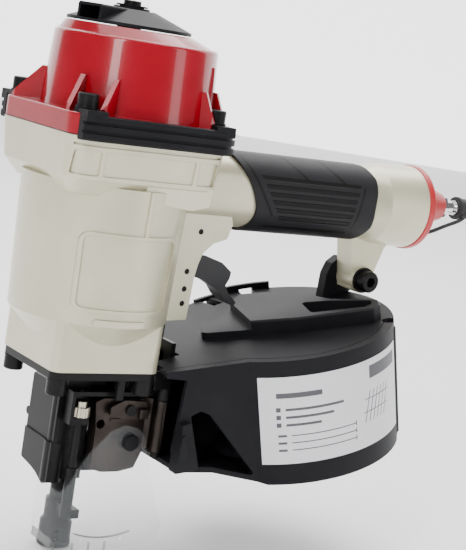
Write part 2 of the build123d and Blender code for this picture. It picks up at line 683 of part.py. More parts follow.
def trigger_valve_stem():
    stem = rod(1.8 - FIT, STEM_LOW_Z, VALVE_LOW_Z + 8, VALVE_X)
    stem += rod(2.8, STEM_LOW_Z, STEM_LOW_Z + 2, VALVE_X)
    return stem + rod(3.6, VALVE_LOW_Z + 4.3, VALVE_LOW_Z + 6.3, VALVE_X)


def valve_spring():
    low = VALVE_LOW_Z + 6.3
    return coil_spring(2.8, 0.35, low, VALVE_LOW_Z + VALVE_H - 1.0, 5, VALVE_X)


def valve_circlip():
    """Plate that closes the top of the valve and holds its spring."""
    z = VALVE_LOW_Z + VALVE_H - 1.0
    return tube(4.0, 1.2, z, z + 1.0, VALVE_X)


# ---------------------------------------------------------------- nose
FLANGE_LOW_Z = BASE_Z - FLANGE_H
GUIDE_FRONT_X = -9.5
GUIDE_REAR_X = 34.0
GUIDE_FAR_Y = 10.5
GUIDE_NEAR_Y = -9.5
GUIDE_LOW_Z = 38.0
SHROUD_X = -13.5
SHROUD_FAR_Y = 21.5
SHROUD_T = 3.0
CHANNEL_X = 4.6             # front end of the door's opening
CHANNEL_LOW_Z = 43.0
CHANNEL_TOP_Z = 87.0
FEED_Y = 21.0
FEED_Z = 64.0
FEED_R = 8.0
FEED_START_X = 33.5
FEED_LENGTH = 22.0
HINGE_PIN_R = 1.6
KNUCKLE_R = 3.2
KNUCKLE_LOW_Z = 56.0
KNUCKLE_TOP_Z = 83.0
KEEPER_X = 13.0
NECK_SCREW_Z = (54.0, 82.0)
NECK_SCREW_Y = 7.0
ARM_Z = 84.0                # contact arm at rest
TIP_TOP_Z = 24.5
TIP_ARM_H = 4.5
ARM_T = 2.3
ARM_Y = -15.2
ARM_HALF = 3.4
ARM_REAR_X = 42.0
ROD_R = 2.0
WHEEL_R = 4.6
WHEEL_LOW_Z = 73.0
WHEEL_H = 5.0
COLLAR_H = 4.0
PAD_H = 3.2
LATCH_X = 22.0
LATCH_Z = 77.5
LATCH_Y = DOOR_Y - DOOR_T - 1.9     # inner face of the latch lever
LATCH_T = 2.0
RIVET_X = 24.0
RIVET_Z = 60.6
CHECK_X = 23.5
CHECK_Y = -9.0
PAWL_PIN_R = 1.25
FEED_ROD_R = 2.2
PAWL_X = 15.3
PAWL_Y = 8.4


def shroud():
    """Front plate of the nose, with its pointed foot, and the wall behind it."""
    outline = [(GUIDE_NEAR_Y, 36.0), (-4.5, 34.2), (3.5, 37.6), (9.5, 39.0), (SHROUD_FAR_Y, 40.5),
               (SHROUD_FAR_Y, 86.0), (GUIDE_NEAR_Y, 86.0)]
    plane = Plane(origin=(SHROUD_X, 0, 0), x_dir=(0, 1, 0), z_dir=(1, 0, 0))
    face = plane * fillet(make_face(Polyline(*outline, close=True)).vertices(), 1.4)
    plate = extrude(face, amount=SHROUD_T, dir=(1, 0, 0))
    plate += Pos(-0.8, 0, 0) * (plate & block(-30, 30, -30, 30, 0, 57))
    side = block(SHROUD_X + 1, 11.5, SHROUD_FAR_Y - SHROUD_T, SHROUD_FAR_Y, 46, 86)
    lid = block(SHROUD_X + 1, 11.5, 0, SHROUD_FAR_Y, 83, 86)
    lug = rod_x(2.2, SHROUD_X, SHROUD_X + SHROUD_T, SHROUD_FAR_Y + 0.8, 65)
    ribs = rod(4.2, 36, 84, GUIDE_FRONT_X - 0.5, -5.2) + rod(5.4, 36, 57, GUIDE_FRONT_X - 0.3, -4.8)
    return plate + side + lid + lug + ribs


def hinge_lug():
    """Upper half of the door hinge, on an arm from the flange."""
    x, y = DOOR_HINGE_X, DOOR_HINGE_Y
    arm = flat_plate([(24, y + 3.2), (24, -BASE_HALF + 2), (29, -BASE_HALF + 2), (x, y - KNUCKLE_R),
                      (x + KNUCKLE_R, y), (x + 2, y + 3.2)], FLANGE_LOW_Z - 5, BASE_Z)
    return arm + rod(KNUCKLE_R, KNUCKLE_TOP_Z + GAP, BASE_Z, x, y)


def nose_body():
    """Steel nose: flange, driver guide, far half of the nail channel and the door's hinge lug."""
    flange = square_prism(BASE_HALF - 0.5, BASE_CORNER, FLANGE_LOW_Z, BASE_Z)
    guide = block(GUIDE_FRONT_X, 12, GUIDE_NEAR_Y, GUIDE_FAR_Y, GUIDE_LOW_Z, FLANGE_LOW_Z)
    far = block(0, GUIDE_REAR_X, NAIL_SLOT, GUIDE_FAR_Y, GUIDE_LOW_Z, FLANGE_LOW_Z)
    nose_tube = rod(GUIDE_TUBE_R, GUIDE_TUBE_Z, GUIDE_LOW_Z + 1)
    keeper = block(KEEPER_X - 2, KEEPER_X + 2, LATCH_Y - LATCH_T - 2.5, LATCH_Y - LATCH_T - GAP, 83.2, BASE_Z - 1)
    solid = flange + guide + far + nose_tube + shroud() + hinge_lug() + keeper
    # nail channel, opened towards the door, and the driver's bore
    solid -= block(CHANNEL_X, GUIDE_REAR_X + 1, -12, -NAIL_SLOT, CHANNEL_LOW_Z, CHANNEL_TOP_Z)
    solid -= block(CHANNEL_X, GUIDE_REAR_X + 1, -12, NAIL_SLOT, GUIDE_LOW_Z - 1, CHANNEL_LOW_Z)
    solid -= block(0, GUIDE_REAR_X + 1, -NAIL_SLOT, NAIL_SLOT, GUIDE_LOW_Z + 2, FLANGE_LOW_Z - 2)
    solid -= block(0, GUIDE_REAR_X + 1, -3.8, 3.8, CHANNEL_TOP_Z - 5, FLANGE_LOW_Z - 2)
    solid -= rod(GUIDE_BORE_R, 0, BASE_Z + 1)
    # window for the feed pawl, and room for the contact arm
    solid -= block(8, 31, 1, GUIDE_FAR_Y + 1, FEED_Z - 5.5, FEED_Z + 5.5)
    solid -= block(-12, 50, ARM_Y - ARM_HALF - 0.6, ARM_Y + ARM_HALF + 0.5, ARM_Z - 1, FLANGE_LOW_Z)
    solid -= rod(HINGE_PIN_R, 30, BASE_Z + 1, DOOR_HINGE_X, DOOR_HINGE_Y)
    for x, y in corners(NOSE_SCREW_PITCH):
        solid -= rod(3.2, FLANGE_LOW_Z - 1, BASE_Z + 1, x, y)
        solid -= rod(5.6, 80, FLANGE_LOW_Z, x, y)
    for z in NECK_SCREW_Z:
        solid -= rod_x(1.5, GUIDE_REAR_X - 8, GUIDE_REAR_X + 1, NECK_SCREW_Y, z)
    return solid


def nose_screws():
    """Four socket head screws with their washers."""
    screw = socket_screw(5.0, 7.0, 3.0, 13) + rod(5.2, -1.2, 0)
    screw = Pos(0, 0, FLANGE_LOW_Z - 1.2) * Rot(180, 0, 0) * screw
    return as_one([Pos(x, y, 0) * screw for x, y in corners(NOSE_SCREW_PITCH)])


# ---------------------------------------------------------------- contact arm and depth adjuster
def contact_arm():
    """Linkage that carries the tip's motion back to the trigger."""
    y0 = ARM_Y - ARM_HALF
    y1 = ARM_Y + ARM_HALF
    x1 = ARM_REAR_X + ARM_T
    fork_x = ADJUST_X - WHEEL_R - 2.2
    fork_low = WHEEL_LOW_Z - COLLAR_H
    strip = block(fork_x, x1, y0, y1, ARM_Z, ARM_Z + ARM_T)
    rise = block(ARM_REAR_X, x1, y0, y1, ARM_Z, 112.5)
    cross = block(ARM_REAR_X, x1, y0, 5.2, 107, 112.5)
    finger = block(ARM_REAR_X, x1, -5.2, 5.2, 107, 131)
    fork = block(fork_x, fork_x + 1.8, y0, y1, fork_low, ARM_Z + 1)
    shelf = block(fork_x, ADJUST_X + 4.0, ADJUST_Y - 2.9, ADJUST_Y + 3.6, fork_low, WHEEL_LOW_Z - 0.3)
    solid = strip + rise + cross + finger + fork + shelf
    return solid - rod(ROD_R + 0.3, 60, 100, ADJUST_X, ADJUST_Y)


def depth_wheel():
    """Notched wheel that screws the contact tip up and down."""
    top = WHEEL_LOW_Z + WHEEL_H
    wheel = rod(WHEEL_R, WHEEL_LOW_Z, top, ADJUST_X, ADJUST_Y)
    for turn in range(10):
        notch = Rot(0, 0, 36 * turn) * rod(0.8, WHEEL_LOW_Z - 1, top + 1, WHEEL_R + 0.2)
        wheel -= Pos(ADJUST_X, ADJUST_Y, 0) * notch
    wheel += rod(3.2, top, top + 3, ADJUST_X, ADJUST_Y)
    return wheel - rod(ROD_R + FIT, 60, 100, ADJUST_X, ADJUST_Y)


def contact_tip():
    """Sleeve on the nose tube, with the arm and threaded rod of the depth adjuster."""
    bore = GUIDE_TUBE_R + FIT
    tip = rod(TIP_R, PAD_H, TIP_H) + rod(bore + TIP_WALL, TIP_H - 1, TIP_TOP_Z)
    tip += cone(TIP_R, bore + TIP_WALL, TIP_H, TIP_H + 2.0)
    low = TIP_TOP_Z - TIP_ARM_H - 0.5
    arm = block(ADJUST_X, 2.5, ADJUST_Y - 2.5, -bore - 0.5, low, low + TIP_ARM_H)
    post = rod(2.9, low, 46.0, ADJUST_X, ADJUST_Y)
    threaded = rod(ROD_R, 45.0, 81.5, ADJUST_X, ADJUST_Y)
    solid = tip + arm + post + threaded
    # keyhole window in the near wall of the tip
    window = rod_y(1.5, -TIP_R - 1, 0, 0, 9.6) + block(-0.7, 0.7, -TIP_R - 1, 0, 3.0, 9.6)
    solid -= Rot(0, 0, -25) * window
    return solid - rod(bore, PAD_H - 1, 40)


def no_mar_pad():
    """Rubber foot that keeps the tip from marking the work."""
    pad = rod(TIP_R + 0.3, 0, PAD_H)
    pad = fillet(pad.edges().group_by(Axis.Z)[0], 0.9)
    return pad - rod(GUIDE_TUBE_R + FIT, -1, PAD_H + 1)


def contact_spring():
    """Return spring between the contact arm and the underside of the nose flange."""
    return coil_spring(2.6, 0.4, ARM_Z + ARM_T, FLANGE_LOW_Z, 4, 17.0, ARM_Y)


# ---------------------------------------------------------------- door, latch and pawls
def nose_door():
    """Hinged door that closes the nail channel; it carries the check pawl's pin."""
    x, y = DOOR_HINGE_X, DOOR_HINGE_Y
    plate = side_plate([(5.5, 45.5), (5.5, 66), (3.5, 80.5), (8, 82.5), (GUIDE_REAR_X - 1, 82.5),
                        (GUIDE_REAR_X + 1, 79), (GUIDE_REAR_X + 1, 56), (GUIDE_REAR_X - 3, 45.5), (22, 43.6),
                        (12, 43.6)], DOOR_Y - DOOR_T, DOOR_Y, 1.2)
    core = flat_plate([(CHANNEL_X + 4.0, -NAIL_SLOT - 0.3), (CHANNEL_X + 0.8, -9.3), (CHANNEL_X + 0.8, DOOR_Y - 1),
                       (31.5, DOOR_Y - 1), (31.5, -NAIL_SLOT - 0.3)], CHANNEL_LOW_Z + 1.6, 81)
    rib = block(13, GUIDE_REAR_X - 3, DOOR_Y - DOOR_T - 0.8, DOOR_Y - DOOR_T + 0.1, 70.5, 72)
    leaf = flat_plate([(30, DOOR_Y - 2.5), (30, DOOR_Y), (GUIDE_REAR_X + 1, DOOR_Y), (x + 2.4, y + 2.2),
                       (x + KNUCKLE_R, y), (x - KNUCKLE_R, y), (x - KNUCKLE_R, y + 3.6), (33, DOOR_Y - 2.5)],
                      KNUCKLE_LOW_Z, KNUCKLE_TOP_Z)
    solid = plate + core + rib + leaf + rod(KNUCKLE_R, KNUCKLE_LOW_Z, KNUCKLE_TOP_Z, x, y)
    solid -= rod(HINGE_PIN_R + FIT, 30, 98, x, y)
    solid -= rod_y(2.4, -30, 0, 8.0, 69.0)
    solid -= rod_y(1.5, -30, DOOR_Y + 1.2, LATCH_X, LATCH_Z)
    solid -= rod_y(2.0, -30, DOOR_Y + 1.2, RIVET_X, RIVET_Z)
    solid -= block(14.6, CHECK_X + 3.0, -12.5, 0, 55.4, 64.6)
    return solid + rod(PAWL_PIN_R, 54, 66, CHECK_X, CHECK_Y)


def door_hinge_pin():
    pin = rod(HINGE_PIN_R, KNUCKLE_LOW_Z - 1.5, BASE_Z - 0.2, DOOR_HINGE_X, DOOR_HINGE_Y)
    return pin + rod(2.6, KNUCKLE_LOW_Z - 3, KNUCKLE_LOW_Z - GAP, DOOR_HINGE_X, DOOR_HINGE_Y)


def door_latch():
    """Lever on the door; turned up, its corner stands behind the keeper."""
    outer = LATCH_Y - LATCH_T
    lever = side_plate([(10.5, 74.6), (10.5, 79.0), (18, 82.6), (30.5, 82.0), (32.0, 76.0), (29, 72.6),
                        (18, 72.8)], outer, LATCH_Y, 0.9)
    grip = block(26.5, 31.5, outer - 2.6, outer + 1, 73.4, 78.4)
    grip = fillet(grip.edges().filter_by(Axis.Z), 0.9)
    return lever + grip - rod_y(1.5 + FIT, -40, 0, LATCH_X, LATCH_Z)


def latch_pin():
    outer = LATCH_Y - LATCH_T
    pin = rod_y(1.5, outer - GAP, DOOR_Y + 1.2, LATCH_X, LATCH_Z)
    head = rod_y(2.8, outer - 1.6, outer - GAP, LATCH_X, LATCH_Z)
    collar = rod_y(2.6, LATCH_Y + GAP, DOOR_Y - DOOR_T, LATCH_X, LATCH_Z)
    return pin + head + collar


def check_pawl():
    """Pawl in the door that keeps the nail strip from slipping back."""
    pawl = flat_plate([(CHECK_X + 1.5, CHECK_Y - 1.5), (CHECK_X - 1.5, CHECK_Y - 2.0), (15.4, -4.6), (16.6, -3.2),
                       (18.6, -3.4), (CHECK_X + 1.5, CHECK_Y + 1.6)], 56.0, 64.0, 0.5)
    pawl += rod(2.3, 56.0, 64.0, CHECK_X, CHECK_Y)
    return pawl - rod(PAWL_PIN_R + FIT, 50, 70, CHECK_X, CHECK_Y)


def feed_cylinder():
    """Air cylinder on the far side that advances the nail strip."""
    x0 = FEED_START_X
    body = rod_x(FEED_R, x0, x0 + FEED_LENGTH, FEED_Y, FEED_Z)
    foot = block(x0 - 5.7, x0, 11.0, FEED_Y + 6, FEED_Z - 7, FEED_Z + 7)
    foot = fillet(foot.edges().filter_by(Axis.X), 2.0)
    clamp = block(x0 - 5.7, x0 + 0.4, GUIDE_FAR_Y, 12.0, FEED_Z - 12, FEED_Z + 12)
    solid = body + foot + clamp
    solid -= rod_x(FEED_R - 2.0, x0 + 2, x0 + FEED_LENGTH + 1, FEED_Y, FEED_Z)
    return solid - rod_x(FEED_ROD_R + FIT, x0 - 10, x0 + 5, FEED_Y, FEED_Z)


def feed_cylinder_cap():
    x1 = FEED_START_X + FEED_LENGTH
    cap = rod_x(FEED_R, x1, x1 + 2.5, FEED_Y, FEED_Z) + rod_x(FEED_R - 2.0, x1 - 2.5, x1, FEED_Y, FEED_Z)
    return cap - rod_x(2.5, x1 + 1.2, x1 + 3, FEED_Y, FEED_Z)


def feed_piston():
    """Feed piston with its rod and the slide that carries the pawl's pin, at the front of its stroke."""
    disc = rod_x(FEED_R - 2.0 - FIT, FEED_START_X + 2.6, FEED_START_X + 6.6, FEED_Y, FEED_Z)
    shaft = rod_x(FEED_ROD_R, 12.5, FEED_START_X + 4, FEED_Y, FEED_Z)
    slide = block(12.5, 18.3, 11.2, FEED_Y + 3, FEED_Z - 4.6, FEED_Z + 4.6)
    jaw_top = block(12.5, 18.0, 6.0, 12.0, FEED_Z + 3.4, FEED_Z + 4.6)
    jaw_low = block(12.5, 18.0, 6.0, 12.0, FEED_Z - 4.6, FEED_Z - 3.4)
    pin = rod(1.2, FEED_Z - 4, FEED_Z + 4, PAWL_X, PAWL_Y)
    return disc + shaft + slide + jaw_top + jaw_low + pin


def feed_pawl():
    """Pawl that pushes the nail strip on and rides back over the next nail."""
    pawl = flat_plate([(17.2, 10.4), (13.4, 10.4), (9.6, 4.4), (10.8, 3.0), (12.4, 3.1), (17.4, 7.0)],
                      FEED_Z - 3.1, FEED_Z + 3.1, 0.4)
    return pawl - rod(1.2 + FIT, FEED_Z - 6, FEED_Z + 6, PAWL_X, PAWL_Y)


def feed_spring():
    x0 = FEED_START_X + 6.6
    length = FEED_LENGTH - 2.5 - 6.6
    return Pos(x0, FEED_Y, FEED_Z) * Rot(0, 90, 0) * coil_spring(4.2, 0.4, 0, length, 4)


# ---------------------------------------------------------------- debris shield
SHIELD_Y = -22.0
SHIELD_T = 1.2
SHIELD_FRONT_X = -11.0
SHIELD_BEND = 8.0
SHIELD_FAR_Y = 6.0


def clear_shield():
    """Clear sheet riveted to the door, bent round the front of the tip."""
    bend = SHIELD_BEND
    x0 = SHIELD_FRONT_X
    outer = Plane.XY * RectangleRounded(120, 2 * (SHIELD_FAR_Y - SHIELD_Y), bend)
    inner = Plane.XY * RectangleRounded(120 - 2 * SHIELD_T, 2 * (SHIELD_FAR_Y - SHIELD_Y - SHIELD_T), bend - SHIELD_T)
    band = Pos(x0 + 60, SHIELD_FAR_Y, 0) * extrude(outer - inner, amount=72)
    near = [(12.5, 66.5), (20, 69.6), (28, 68.0), (31.5, 64.5), (43.5, 30), (50, 15), (47.5, 8.4), (38, 4.6),
            (18, 3.0), (-30, 3.0), (-30, 33.4), (-9.4, 33.4), (-5.5, 42), (0, 53)]
    near_face = Plane.XZ * fillet(make_face(Polyline(*near, close=True)).vertices(), 1.4)
    window = Pos(0, SHIELD_FAR_Y, 0) * extrude(near_face, amount=40, dir=(0, -1, 0))
    sheet = band & window
    for x in (4, 27):
        sheet -= rod_y(1.2, SHIELD_Y - 1, SHIELD_Y + 3, x, 9)
    return sheet - rod_y(2.0, -30, 0, RIVET_X, RIVET_Z)


def shield_rivet():
    """Large headed rivet, with the spacer that holds the shield off the door."""
    rivet = rod_y(2.0, SHIELD_Y - 0.4, DOOR_Y + 1.2, RIVET_X, RIVET_Z)
    head = rod_y(4.3, SHIELD_Y - 2.0, SHIELD_Y, RIVET_X, RIVET_Z)
    head = fillet(head.edges().group_by(Axis.Y)[0], 0.9)
    spacer = rod_y(4.6, SHIELD_Y + SHIELD_T, DOOR_Y - DOOR_T, RIVET_X, RIVET_Z)
    return rivet + head + spacer


# ---------------------------------------------------------------- magazine
MAG_PLANE = Plane(
    origin=(DRUM_X, DRUM_Y, DRUM_Z),
    x_dir=(cos(radians(DRUM_TILT)), 0, sin(radians(DRUM_TILT))),
    z_dir=(-sin(radians(DRUM_TILT)), 0, cos(radians(DRUM_TILT))),
)
HINGE_TURN = -41.0          # place of the cover's hinge round the drum
HINGE_ARM = DRUM_R - 2.6
COVER_KNUCKLE_R = 3.5
COVER_PIN_R = 1.4
COVER_FRONT_X = 39.5
FAR_WALL_Y = 21.6
NECK_NEAR_Y = -28.0
TOP_ARM_H = 8.5
LUG_T = 6.4
POST_R = 5.0
PLATFORM_T = 3.0
PLATFORM_Z = DRUM_WALL + 6.0 - DRUM_H
LABEL_TURN = (-134.0, -48.0)
LABEL_Z = (-56.0, -8.5)


def on_rim(reach, turn):
    """Point of the drum's plane at a distance from its axis and a heading in degrees."""
    return (reach * cos(radians(turn)), reach * sin(radians(turn)))


def drum_plan(depth=0.0):
    """Outline of the drum and its neck in the drum's own plane, drawn in by a depth."""
    front = NECK_A if depth == 0 else NECK_A - 1
    neck = make_face(Polyline((front, NECK_NEAR_Y + depth * 1.07), (-46, -43.0 + depth * 1.07), (0, 0),
                              (-46, 43.0 - depth * 1.2), (-70, FAR_WALL_Y - depth), (front, FAR_WALL_Y - depth),
                              close=True))
    return Circle(DRUM_R - depth) + neck


def slab(face, z0, z1):
    return Pos(0, 0, z0) * extrude(face, amount=z1 - z0, dir=(0, 0, 1))


def cover_sector(grow=0.0):
    """The near part of the plan, which belongs to the cover."""
    turn = radians(HINGE_TURN)
    far = 130.0
    start = (far * cos(turn) + grow, far * sin(turn) + grow)
    plan = make_face(Polyline((0, grow), start, (far, -far), (-far, -far), (-far, grow - 30.0),
                              (-46, grow - 20.0), close=True))
    return slab(plan, -DRUM_H - 20, 20)


def floor_cut(lift=0.0):
    """Space below the floor, which rises along the neck."""
    return side_plate([(-42, -DRUM_H + lift), (-68, -57.2 + lift), (-110, -50.0 + lift), (-110, -DRUM_H - 20),
                       (80, -DRUM_H - 20), (80, -DRUM_H + lift)], -100, 100)


def drum_skin(depth):
    """Side wall of the drum and neck, a given depth thick."""
    wall = slab(drum_plan(), -DRUM_H, 0) - slab(drum_plan(depth), -DRUM_H - 1, 1)
    return wall - floor_cut()


def drum_ends():
    """Top plate and floor of the drum and neck."""
    room = slab(drum_plan(), -DRUM_H - 1, 0)
    top = room & slab(Rectangle(300, 300), -DRUM_WALL, 0)
    floor = room & (floor_cut(DRUM_WALL) - floor_cut())
    return top + floor


def body_room():
    """Space of the housing, nose and contact arm, which the magazine stays out of."""
    room = block(-60, BASE_HALF + 1.2, -BASE_HALF - 1.4, BASE_HALF + 1.4, FLANGE_LOW_Z - 40, 140)
    room += block(0, ARM_REAR_X + ARM_T + 2.4, ARM_Y - ARM_HALF - 1.2, 6.6, 92, 140)
    room += rod(BARREL_LOW_R + 1.0, BARREL_LOW_Z - BARREL_SKIRT - 4, 140)
    room += block(0, GUIDE_REAR_X, -100, 40, 0, 98)
    return room


def arm_on_top():
    """Raised pocket that runs across the top of the drum."""
    plan = [(-46, 3.5), (-44, 0.5), (-1.7, -23.5), (37, -38.0), (43.6, -35.4), (48.6, -27), (30, -8), (23, 20),
            (-2.5, 34), (-24, 17.5), (-40, 14)]
    arm = flat_plate(plan, -1.0, TOP_ARM_H, 2.0)
    arm = chamfer(arm.edges().group_by(Axis.Z)[-1], 0.9)
    pocket = flat_plate([(8, -21), (35, -32.6), (41, -31), (44, -26.6), (27, -10.5), (14, -3)], 1.5, TOP_ARM_H + 1, 2.5)
    shelf = flat_plate([(-50, -2), (-24, -12), (-12, 32), (-30, 36), (-50, 22)], TOP_ARM_H * 0.45, TOP_ARM_H + 1)
    return arm - pocket - shelf


def rim_rail():
    """Low rail along the far front rim, above the two carrying slots."""
    rail = tube(DRUM_R + 1.2, DRUM_R - 1.2, -8.0, 3.8)
    keep = make_face(Polyline((0, 0), on_rim(140, 60), on_rim(180, 82), on_rim(140, 104), close=True))
    slope = Rot(0, 0, 104) * block(DRUM_R - 4, DRUM_R + 4, -14, 2, 1.2, 5)
    return (rail & slab(keep, -8, 5)) - slope


def rail_slots():
    high = Rot(0, 0, 73) * block(DRUM_R - 10, DRUM_R + 4, -4.0, 4.0, -2.9, 1.2)
    low = Rot(0, 0, 98.5) * block(DRUM_R - 14, DRUM_R - 1.2, -3.4, 3.4, -5.0, 1.0)
    low += Rot(0, 0, 98.5) * block(DRUM_R - 2, DRUM_R + 4, -3.4, 3.4, -4.4, -1.2)
    return high + low


def magazine_lug():
    """Ear that the rear bolt fastens to the leg."""
    lug = side_plate([(152.5, 128), (153, 149), (155.5, 155.5), (160.5, 159.5), (170.5, 159.5), (176, 153),
                      (176, 146), (169, 138), (166, 128)], LEG_HALF, LEG_HALF + LUG_T, 1.5)
    return lug - rod_y(LEG_BOLT_R, 0, 30, LEG_BOLT_X, LEG_BOLT_Z)


def hinge_web(turn):
    """Web that joins a hinge knuckle to the wall beside it."""
    hx, hy = on_rim(HINGE_ARM, HINGE_TURN)
    side = turn / abs(turn)
    return make_face(Polyline((hx - 2.0, hy + side * 2.0), (hx + 1.8, hy + side * 0.4),
                              on_rim(DRUM_R, HINGE_TURN + turn), on_rim(DRUM_R - DRUM_WALL, HINGE_TURN + 1.1 * turn),
                              close=True))


def magazine_body():
    """Fixed half of the magazine: top, far wall, floor, neck and rear ear."""
    solid = drum_skin(DRUM_WALL) - cover_sector(GAP)
    lip_zone = slab(drum_plan(), -DRUM_H, 0) - slab(drum_plan(LIP + GAP), -DRUM_H - 1, 1)
    solid += drum_ends() - (lip_zone & cover_sector(GAP))
    solid += arm_on_top() + rim_rail()
    solid -= rail_slots()
    hx, hy = on_rim(HINGE_ARM, HINGE_TURN)
    solid -= rod(COVER_KNUCKLE_R + GAP, -DRUM_H - 1, 1, hx, hy)
    for z0, z1 in ((-22.0, -DRUM_WALL - 1.2), (DRUM_WALL + 1.2 - DRUM_H, -46.0)):
        solid += rod(COVER_KNUCKLE_R, z0, z1, hx, hy) + slab(hinge_web(8), z0, z1)
    solid -= rod(COVER_PIN_R, -DRUM_H, 1, hx, hy)
    solid += rod(POST_R + 3, -DRUM_H, PLATFORM_Z)
    solid -= rod(POST_R, -DRUM_H - 1, -DRUM_WALL)
    solid += Rot(0, 0, HINGE_TURN + 16) * block(DRUM_R - 12, DRUM_R - 3, -4, 4, -DRUM_H - 4.5, 1 - DRUM_H)
    solid = MAG_PLANE.location * solid
    solid += magazine_lug()
    solid += block(GUIDE_REAR_X, GUIDE_REAR_X + 3, 3.5, GUIDE_FAR_Y, CHANNEL_LOW_Z + 5, 90)
    solid += block(GUIDE_REAR_X + 1, 50, 8.8, 11.2, CHANNEL_LOW_Z + 11, 90)
    solid -= body_room()
    for z in NECK_SCREW_Z:
        solid -= rod_x(1.5, GUIDE_REAR_X - 1, GUIDE_REAR_X + 5, NECK_SCREW_Y, z)
        solid -= rod_x(3.4, GUIDE_REAR_X + 3, GUIDE_REAR_X + 9, NECK_SCREW_Y, z)
    solid -= rod_x(FEED_R + 0.6, FEED_START_X - 8, FEED_START_X + FEED_LENGTH + 4, FEED_Y, FEED_Z)
    return solid - block(0, DOOR_HINGE_X + KNUCKLE_R + 0.8, -60, -17, 0, BASE_Z + 1)


def magazine_cover():
    """Curved near wall with its lips, neck wall and window, hinged at the rear."""
    lips = drum_ends() - slab(drum_plan(LIP), -DRUM_H - 1, 1)
    solid = (drum_skin(DRUM_WALL) + lips) & cover_sector()
    window = side_plate([(-76, -25), (-71, -23), (-66.5, -26), (-47, -62), (-74, -56)], -80, 0, 1.0)
    solid -= window & slab(Rectangle(300, 300), DRUM_WALL + 1 - DRUM_H, 0) - floor_cut(DRUM_WALL + 0.4)
    face = side_plate([(NECK_A - 4, -28), (-77, -27.5), (-75.5, -54), (NECK_A - 4, -52)], -34.0, -27.0, 1.0)
    ridge = side_plate([(-89.0, -34), (-81.5, -33.0), (-80.5, -46), (-88.5, -47.5)], -35.2, -33.0, 0.8)
    solid += face + ridge - slab(drum_plan(DRUM_WALL), -DRUM_H - 1, 1)
    hx, hy = on_rim(HINGE_ARM, HINGE_TURN)
    low = -45.6
    high = -22.4
    for z0, z1 in ((-DRUM_H - 1, low), (high, 1)):
        solid -= rod(COVER_KNUCKLE_R + GAP, z0, z1, hx, hy)
    solid += rod(COVER_KNUCKLE_R, low, high, hx, hy) + slab(hinge_web(-6), low, high)
    solid -= rod(COVER_PIN_R + FIT, -DRUM_H, 1, hx, hy)
    solid = MAG_PLANE.location * solid
    return solid - body_room() - block(-60, COVER_FRONT_X, -60, 40, 0, BASE_Z)


def magazine_hinge_pin():
    hx, hy = on_rim(HINGE_ARM, HINGE_TURN)
    return MAG_PLANE.location * rod(COVER_PIN_R, DRUM_WALL + 1.4 - DRUM_H, -DRUM_WALL - 1.4, hx, hy)


def spec_label():
    """Thin blank label on the cover."""
    ring = tube(DRUM_R + 0.35, DRUM_R + 0.05, LABEL_Z[0], LABEL_Z[1])
    middle = (LABEL_TURN[0] + LABEL_TURN[1]) / 2
    keep = make_face(Polyline((0, 0), on_rim(100, LABEL_TURN[0]), on_rim(150, middle), on_rim(100, LABEL_TURN[1]),
                              close=True))
    return MAG_PLANE.location * (ring & slab(keep, -70, 0))


def coil_platform():
    """Disc that the coil of nails stands on, raised and lowered on the post."""
    disc = rod(PLATFORM_R, PLATFORM_Z, PLATFORM_Z + PLATFORM_T) + rod(POST_R + 4, PLATFORM_Z, PLATFORM_Z + 12)
    for turn in range(6):
        disc -= Rot(0, 0, 60 * turn) * rod(9, PLATFORM_Z - 1, PLATFORM_Z + PLATFORM_T + 1, 32)
    return MAG_PLANE.location * (disc - rod(POST_R + FIT, PLATFORM_Z - 1, 0))


def platform_post():
    post = rod(POST_R, 0.2 - DRUM_H, -DRUM_WALL - 0.2)
    for step in range(3):
        z = PLATFORM_Z + 16 + 9 * step
        post -= tube(POST_R + 1, POST_R - 0.8, z, z + 1.6)
    return MAG_PLANE.location * post


def magazine_bolt():
    """Socket head bolt with its washer, through the leg and the magazine's ear."""
    seat = -LEG_HALF - LEG_BOSS_H
    washer = rod_y(7.2, seat - 1.4, seat, LEG_BOLT_X, LEG_BOLT_Z)
    head = rod_y(6.0, seat - 7.4, seat - 1.4, LEG_BOLT_X, LEG_BOLT_Z)
    head = chamfer(head.edges().group_by(Axis.Y)[0], 0.8)
    plane = Plane(origin=(LEG_BOLT_X, seat - 7.4, LEG_BOLT_Z), x_dir=(1, 0, 0), z_dir=(0, 1, 0))
    head -= extrude(plane * RegularPolygon(3.0, 6), amount=3.4)
    return washer + head + rod_y(LEG_BOLT_R, seat - 2, LEG_HALF + LUG_T + 6, LEG_BOLT_X, LEG_BOLT_Z)


def bolt_nut():
    y = LEG_HALF + LUG_T
    plane = Plane(origin=(LEG_BOLT_X, y, LEG_BOLT_Z), x_dir=(1, 0, 0), z_dir=(0, 1, 0))
    nut = extrude(plane * RegularPolygon(7.2, 6), amount=5.5)
    return nut - rod_y(LEG_BOLT_R, y - 1, y + 7, LEG_BOLT_X, LEG_BOLT_Z)


def neck_screws():
    screws = []
    for z in NECK_SCREW_Z:
        shank = rod_x(1.5, GUIDE_REAR_X - 7, GUIDE_REAR_X + 3, NECK_SCREW_Y, z)
        screws.append(shank + rod_x(2.6, GUIDE_REAR_X + 3, GUIDE_REAR_X + 5.4, NECK_SCREW_Y, z))
    return as_one(screws)


